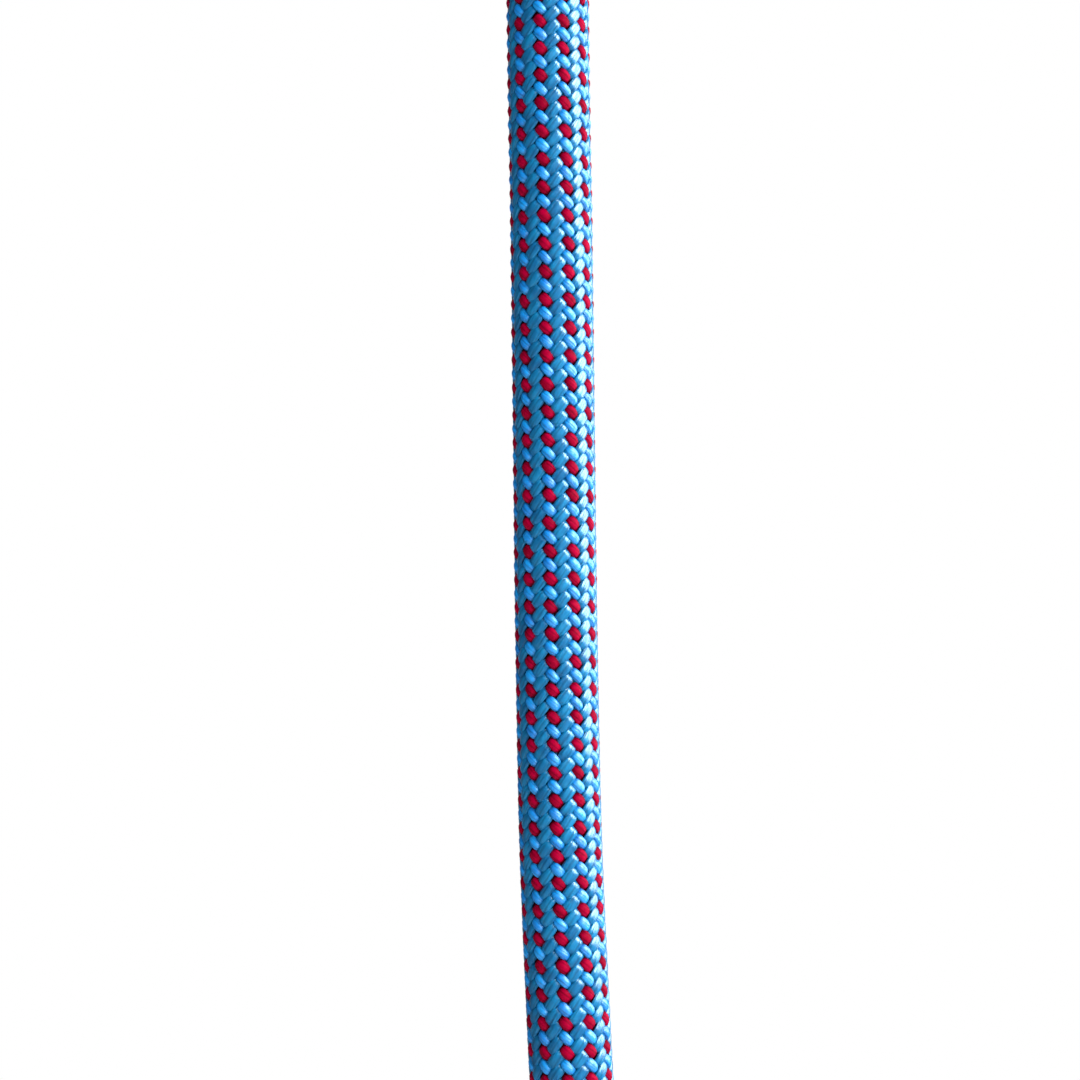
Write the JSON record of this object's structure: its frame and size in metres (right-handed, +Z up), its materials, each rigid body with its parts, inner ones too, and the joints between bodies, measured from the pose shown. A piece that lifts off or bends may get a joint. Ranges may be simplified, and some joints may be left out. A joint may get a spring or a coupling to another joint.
{
  "type": "dynamic climbing rope",
  "caption": "Kernmantle climbing rope hanging straight from a noose with an eye, with a stopper knot, short tails and sleeved ends; braided blue sheath with red flecks.",
  "frame": {"origin": "where the load bears on the inside of the eye, at its top", "axes": "+Z up along the hanging rope, +X across the eye, -Y towards the front"},
  "size_m": [0.0574, 0.0481, 0.3499],
  "materials": {
    "sheath": "woven polyamide yarn, silky",
    "core": "twisted polyamide, matt",
    "marker": "thin thread, matt",
    "sleeve": "shrunk tube, satin",
    "seal": "melted polyamide, smooth"
  },
  "bodies": {
    "root": {"sheath_eye": "sheath", "sheath_noose_knot": "sheath", "sheath_run": "sheath", "sheath_stopper_knot": "sheath", "core_strand_1": "core", "core_strand_2": "core", "core_strand_3": "core", "core_strand_4": "core", "core_strand_5": "core", "core_strand_6": "core", "core_strand_7": "core", "core_strand_8": "core", "core_strand_9": "core", "marker_thread": "marker", "upper_end_sleeve": "sleeve", "upper_end_seal": "seal", "lower_end_sleeve": "sleeve", "lower_end_seal": "seal"}
  },
  "joints": []
}
